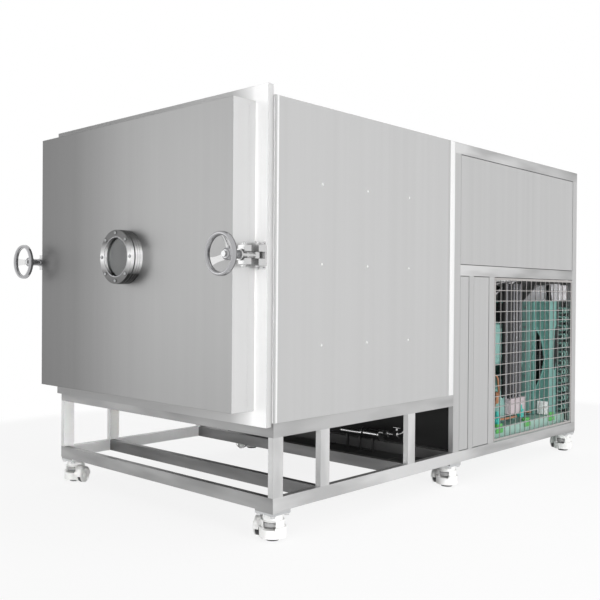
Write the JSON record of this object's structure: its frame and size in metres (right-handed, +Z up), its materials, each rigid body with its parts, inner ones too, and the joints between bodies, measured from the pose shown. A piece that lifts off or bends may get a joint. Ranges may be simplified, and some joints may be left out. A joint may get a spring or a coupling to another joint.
{
  "type": "vacuum freeze dryer",
  "caption": "Stainless box freeze dryer on levelling casters, with a clamped hinged door and round sight glass, shelf chamber behind it and meshed refrigeration cabinet at the rear.",
  "frame": {"origin": "middle of the footprint, on the floor plane that the foot pads stand on", "axes": "+Y from the door to the rear, +X to the right seen from the door, +Z up"},
  "size_m": [1.46, 2.6713, 1.605],
  "materials": {
    "body_sheet": "fine brushed satin",
    "door_sheet": "fine vertical brushing",
    "frame_tube": "brushed tube",
    "polished_steel": "polished",
    "vessel_steel": "mill satin",
    "zinc_steel": "zinc plated",
    "bright_wire": "bright plated",
    "wheel_chrome": "plated, slightly worn",
    "shelf_alloy": "satin",
    "fin_alloy": "thin fins, dull",
    "green_paint": "semi-gloss enamel",
    "black_paint": "satin",
    "pump_paint": "semi-gloss enamel",
    "silicone": "matte",
    "sight_glass": "clear",
    "caster_white": "powder coat",
    "caster_nylon": "moulded nylon",
    "caster_dial": "ribbed",
    "caster_rubber": "matte"
  },
  "bodies": {
    "machine": {"base_frame": "frame_tube", "caster_mounts": "zinc_steel", "chamber_flange": "polished_steel", "chamber_vessel": "vessel_steel", "chamber_skin": "body_sheet", "shelf_rack": "shelf_alloy", "cold_trap_coil": "vessel_steel", "pivot_brackets": "polished_steel", "pivot_pins": "polished_steel", "cabinet_frame": "frame_tube", "side_panels": "body_sheet", "top_panel": "body_sheet", "end_panels": "body_sheet", "mesh_grilles": "bright_wire", "condensing_base": "green_paint", "compressor": "green_paint", "condenser_coil": "fin_alloy", "fan_shroud": "green_paint", "fan_motor": "black_paint", "vacuum_pump": "pump_paint"},
    "door": {"door_skin": "door_sheet", "door_plate": "polished_steel", "door_gasket": "silicone", "door_lugs": "polished_steel", "hinge_leaves": "polished_steel", "sight_neck": "polished_steel", "sight_glass": "sight_glass", "sight_ring": "polished_steel", "sight_bolts": "polished_steel"},
    "fan": {"condenser_fan": "black_paint"},
    "right_bolt": {"right_swing_bolt": "polished_steel"},
    "right_nut": {"right_thrust_washer": "polished_steel"},
    "right_wheel": {"right_handwheel": "wheel_chrome"},
    "left_bolt": {"left_swing_bolt": "polished_steel"},
    "left_nut": {"left_thrust_washer": "polished_steel"},
    "left_wheel": {"left_handwheel": "wheel_chrome"},
    "caster_front_right": {"caster_housing_front_right": "caster_white"},
    "roller_front_right": {"caster_wheel_front_right": "caster_nylon"},
    "dial_front_right": {"caster_dial_front_right": "caster_dial"},
    "foot_front_right": {"caster_foot_front_right": "caster_rubber"},
    "caster_front_left": {"caster_housing_front_left": "caster_white"},
    "roller_front_left": {"caster_wheel_front_left": "caster_nylon"},
    "dial_front_left": {"caster_dial_front_left": "caster_dial"},
    "foot_front_left": {"caster_foot_front_left": "caster_rubber"},
    "caster_middle_right": {"caster_housing_middle_right": "caster_white"},
    "roller_middle_right": {"caster_wheel_middle_right": "caster_nylon"},
    "dial_middle_right": {"caster_dial_middle_right": "caster_dial"},
    "foot_middle_right": {"caster_foot_middle_right": "caster_rubber"},
    "caster_middle_left": {"caster_housing_middle_left": "caster_white"},
    "roller_middle_left": {"caster_wheel_middle_left": "caster_nylon"},
    "dial_middle_left": {"caster_dial_middle_left": "caster_dial"},
    "foot_middle_left": {"caster_foot_middle_left": "caster_rubber"},
    "caster_rear_right": {"caster_housing_rear_right": "caster_white"},
    "roller_rear_right": {"caster_wheel_rear_right": "caster_nylon"},
    "dial_rear_right": {"caster_dial_rear_right": "caster_dial"},
    "foot_rear_right": {"caster_foot_rear_right": "caster_rubber"},
    "caster_rear_left": {"caster_housing_rear_left": "caster_white"},
    "roller_rear_left": {"caster_wheel_rear_left": "caster_nylon"},
    "dial_rear_left": {"caster_dial_rear_left": "caster_dial"},
    "foot_rear_left": {"caster_foot_rear_left": "caster_rubber"}
  },
  "joints": [
    {"name": "door_swing", "type": "hinge", "parent": "machine", "child": "door", "pos_m": [-0.655, -1.1525, 1.008], "axis": [0, 0, -1], "range_deg": [0, 95]},
    {"name": "fan_spin", "type": "hinge", "parent": "machine", "child": "fan", "pos_m": [0.325, 1.1135, 0.53], "axis": [0, 1, 0], "continuous": true},
    {"name": "left_bolt_swing", "type": "hinge", "parent": "door", "child": "left_bolt", "pos_m": [-0.655, -1.1525, 1.008], "axis": [0, 0, 1], "range_deg": [-90, 0]},
    {"name": "right_bolt_swing", "type": "hinge", "parent": "machine", "child": "right_bolt", "pos_m": [0.655, -1.1525, 1.008], "axis": [0, 0, 1], "range_deg": [0, 90]},
    {"name": "left_nut_slide", "type": "slide", "parent": "left_bolt", "child": "left_nut", "axis": [0, -1, 0], "range_m": [-0.003, 0.025]},
    {"name": "left_wheel_turn", "type": "hinge", "parent": "left_nut", "child": "left_wheel", "pos_m": [-0.655, -1.3205, 1.008], "axis": [0, -1, 0], "range_deg": [-432, 3600]},
    {"name": "right_nut_slide", "type": "slide", "parent": "right_bolt", "child": "right_nut", "axis": [0, -1, 0], "range_m": [-0.003, 0.025]},
    {"name": "right_wheel_turn", "type": "hinge", "parent": "right_nut", "child": "right_wheel", "pos_m": [0.655, -1.3205, 1.008], "axis": [0, -1, 0], "range_deg": [-432, 3600]},
    {"name": "swivel_front_right", "type": "hinge", "parent": "machine", "child": "caster_front_right", "pos_m": [0.648, -1.0555, 0.093], "axis": [0, 0, 1], "continuous": true},
    {"name": "roll_front_right", "type": "hinge", "parent": "caster_front_right", "child": "roller_front_right", "pos_m": [0.58127, -1.05793, 0.036], "axis": [-0.9063, -0.4226, 0], "continuous": true},
    {"name": "dial_turn_front_right", "type": "hinge", "parent": "caster_front_right", "child": "dial_front_right", "pos_m": [0.648, -1.0555, 0.058], "axis": [0, 0, 1], "range_deg": [-1800, 540]},
    {"name": "foot_slide_front_right", "type": "slide", "parent": "caster_front_right", "child": "foot_front_right", "axis": [0, 0, 1], "range_m": [-0.003, 0.01]},
    {"name": "swivel_front_left", "type": "hinge", "parent": "machine", "child": "caster_front_left", "pos_m": [-0.648, -1.0555, 0.093], "axis": [0, 0, 1], "continuous": true},
    {"name": "roll_front_left", "type": "hinge", "parent": "caster_front_left", "child": "roller_front_left", "pos_m": [-0.58123, -1.0554, 0.036], "axis": [0.9205, 0.3907, 0], "continuous": true},
    {"name": "dial_turn_front_left", "type": "hinge", "parent": "caster_front_left", "child": "dial_front_left", "pos_m": [-0.648, -1.0555, 0.058], "axis": [0, 0, 1], "range_deg": [-1800, 540]},
    {"name": "foot_slide_front_left", "type": "slide", "parent": "caster_front_left", "child": "foot_front_left", "axis": [0, 0, 1], "range_m": [-0.003, 0.01]},
    {"name": "swivel_middle_right", "type": "hinge", "parent": "machine", "child": "caster_middle_right", "pos_m": [0.648, 0.0775, 0.093], "axis": [0, 0, 1], "continuous": true},
    {"name": "roll_middle_right", "type": "hinge", "parent": "caster_middle_right", "child": "roller_middle_right", "pos_m": [0.58267, 0.09129, 0.036], "axis": [-0.9816, -0.1908, 0], "continuous": true},
    {"name": "dial_turn_middle_right", "type": "hinge", "parent": "caster_middle_right", "child": "dial_middle_right", "pos_m": [0.648, 0.0775, 0.058], "axis": [0, 0, 1], "range_deg": [-1800, 540]},
    {"name": "foot_slide_middle_right", "type": "slide", "parent": "caster_middle_right", "child": "foot_middle_right", "axis": [0, 0, 1], "range_m": [-0.003, 0.01]},
    {"name": "swivel_middle_left", "type": "hinge", "parent": "machine", "child": "caster_middle_left", "pos_m": [-0.648, 0.0775, 0.093], "axis": [0, 0, 1], "continuous": true},
    {"name": "roll_middle_left", "type": "hinge", "parent": "caster_middle_left", "child": "roller_middle_left", "pos_m": [-0.66293, 0.01242, 0.036], "axis": [0.1736, -0.9848, 0], "continuous": true},
    {"name": "dial_turn_middle_left", "type": "hinge", "parent": "caster_middle_left", "child": "dial_middle_left", "pos_m": [-0.648, 0.0775, 0.058], "axis": [0, 0, 1], "range_deg": [-1800, 540]},
    {"name": "foot_slide_middle_left", "type": "slide", "parent": "caster_middle_left", "child": "foot_middle_left", "axis": [0, 0, 1], "range_m": [-0.003, 0.01]},
    {"name": "swivel_rear_right", "type": "hinge", "parent": "machine", "child": "caster_rear_right", "pos_m": [0.648, 1.2805, 0.093], "axis": [0, 0, 1], "continuous": true},
    {"name": "roll_rear_right", "type": "hinge", "parent": "caster_rear_right", "child": "roller_rear_right", "pos_m": [0.58522, 1.30325, 0.036], "axis": [-0.9986, -0.0523, 0], "continuous": true},
    {"name": "dial_turn_rear_right", "type": "hinge", "parent": "caster_rear_right", "child": "dial_rear_right", "pos_m": [0.648, 1.2805, 0.058], "axis": [0, 0, 1], "range_deg": [-1800, 540]},
    {"name": "foot_slide_rear_right", "type": "slide", "parent": "caster_rear_right", "child": "foot_rear_right", "axis": [0, 0, 1], "range_m": [-0.003, 0.01]},
    {"name": "swivel_rear_left", "type": "hinge", "parent": "machine", "child": "caster_rear_left", "pos_m": [-0.648, 1.2805, 0.093], "axis": [0, 0, 1], "continuous": true},
    {"name": "roll_rear_left", "type": "hinge", "parent": "caster_rear_left", "child": "roller_rear_left", "pos_m": [-0.58855, 1.3109, 0.036], "axis": [0.6428, 0.766, 0], "continuous": true},
    {"name": "dial_turn_rear_left", "type": "hinge", "parent": "caster_rear_left", "child": "dial_rear_left", "pos_m": [-0.648, 1.2805, 0.058], "axis": [0, 0, 1], "range_deg": [-1800, 540]},
    {"name": "foot_slide_rear_left", "type": "slide", "parent": "caster_rear_left", "child": "foot_rear_left", "axis": [0, 0, 1], "range_m": [-0.003, 0.01]}
  ],
  "couplings": [
    {"joint": "left_nut_slide", "follows": "left_wheel_turn", "m_per_rad": 0.00039789},
    {"joint": "right_nut_slide", "follows": "right_wheel_turn", "m_per_rad": 0.00039789},
    {"joint": "foot_slide_front_right", "follows": "dial_turn_front_right", "m_per_rad": -0.00031831},
    {"joint": "foot_slide_front_left", "follows": "dial_turn_front_left", "m_per_rad": -0.00031831},
    {"joint": "foot_slide_middle_right", "follows": "dial_turn_middle_right", "m_per_rad": -0.00031831},
    {"joint": "foot_slide_middle_left", "follows": "dial_turn_middle_left", "m_per_rad": -0.00031831},
    {"joint": "foot_slide_rear_right", "follows": "dial_turn_rear_right", "m_per_rad": -0.00031831},
    {"joint": "foot_slide_rear_left", "follows": "dial_turn_rear_left", "m_per_rad": -0.00031831}
  ]
}
